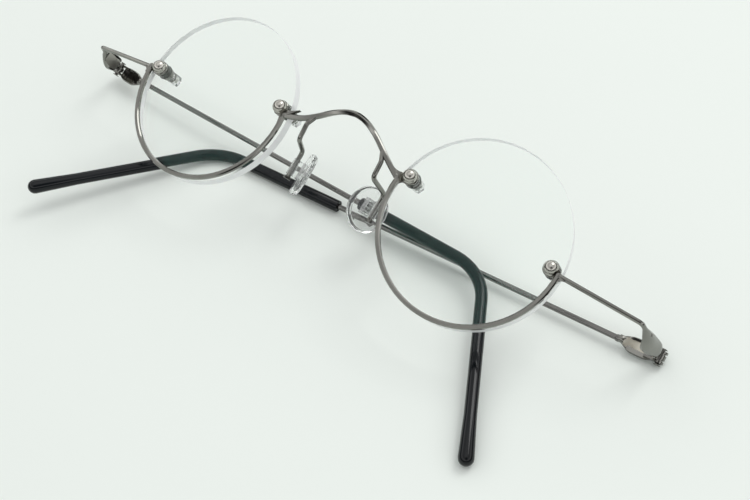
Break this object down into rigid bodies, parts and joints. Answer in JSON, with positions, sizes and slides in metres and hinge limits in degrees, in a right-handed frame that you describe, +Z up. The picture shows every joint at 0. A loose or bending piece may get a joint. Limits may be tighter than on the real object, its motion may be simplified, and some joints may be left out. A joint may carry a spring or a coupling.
{
  "type": "reading glasses",
  "caption": "Half-rim reading glasses with drilled round lenses, ball-headed screws, silicone nose pads and folding wire temples.",
  "frame": {"origin": "middle of the footprint of the folded pair, on the table", "axes": "+Z up, +X towards the wearer's left along the front, +Y towards the top edge of the front as it lies on its back"},
  "size_m": [0.1324, 0.0478, 0.0249],
  "materials": {
    "gunmetal": "plated grey metal, satin with bright edges",
    "bright_steel": "polished warm steel",
    "clear_silicone": "clear soft silicone, slightly milky",
    "clear_nylon": "clear moulded nylon",
    "lens_glass": "clear polished lens, coated against reflections",
    "black_acetate": "glossy dark plastic"
  },
  "bodies": {
    "front": {"front_frame": "gunmetal", "ball_screw_nasal_left": "bright_steel", "ball_screw_nasal_right": "bright_steel", "ball_screw_temporal_left": "bright_steel", "ball_screw_temporal_right": "bright_steel", "clear_sleeve_nasal_left": "clear_nylon", "clear_sleeve_nasal_right": "clear_nylon", "clear_sleeve_temporal_left": "clear_nylon", "clear_sleeve_temporal_right": "clear_nylon", "end_cap_nasal_left": "clear_nylon", "end_cap_nasal_right": "clear_nylon", "end_cap_temporal_left": "clear_nylon", "end_cap_temporal_right": "clear_nylon", "hex_nut_nasal_left": "gunmetal", "hex_nut_nasal_right": "gunmetal", "hex_nut_temporal_left": "gunmetal", "hex_nut_temporal_right": "gunmetal", "lens_left": "lens_glass", "lens_right": "lens_glass"},
    "temple_left": {"temple_root_left": "gunmetal", "temple_wire_left": "gunmetal", "temple_tip_left": "black_acetate", "hinge_pin_left": "bright_steel"},
    "temple_right": {"temple_root_right": "gunmetal", "temple_wire_right": "gunmetal", "temple_tip_right": "black_acetate", "hinge_pin_right": "bright_steel"},
    "pad_left": {"nose_pad_left": "clear_silicone"},
    "pad_right": {"nose_pad_right": "clear_silicone"}
  },
  "joints": [
    {"name": "temple_hinge_left", "type": "hinge", "parent": "front", "child": "temple_left", "pos_m": [0.06515, 0.01327, 0.00142], "axis": [0.0296, -0.8788, -0.4763], "range_deg": [0, 90.5]},
    {"name": "temple_hinge_right", "type": "hinge", "parent": "front", "child": "temple_right", "pos_m": [-0.06514, 0.01327, 0.00288], "axis": [0.0402, 0.8788, 0.4755], "range_deg": [0, 91.7]},
    {"name": "pad_rock_left", "type": "hinge", "parent": "front", "child": "pad_left", "pos_m": [0.0097, 0.00586, 0.01048], "axis": [0.0053, 0.8793, 0.4762], "range_deg": [-8, 8]},
    {"name": "pad_rock_right", "type": "hinge", "parent": "front", "child": "pad_right", "pos_m": [-0.0095, 0.00586, 0.01069], "axis": [0.0053, 0.8793, 0.4762], "range_deg": [-8, 8]}
  ]
}
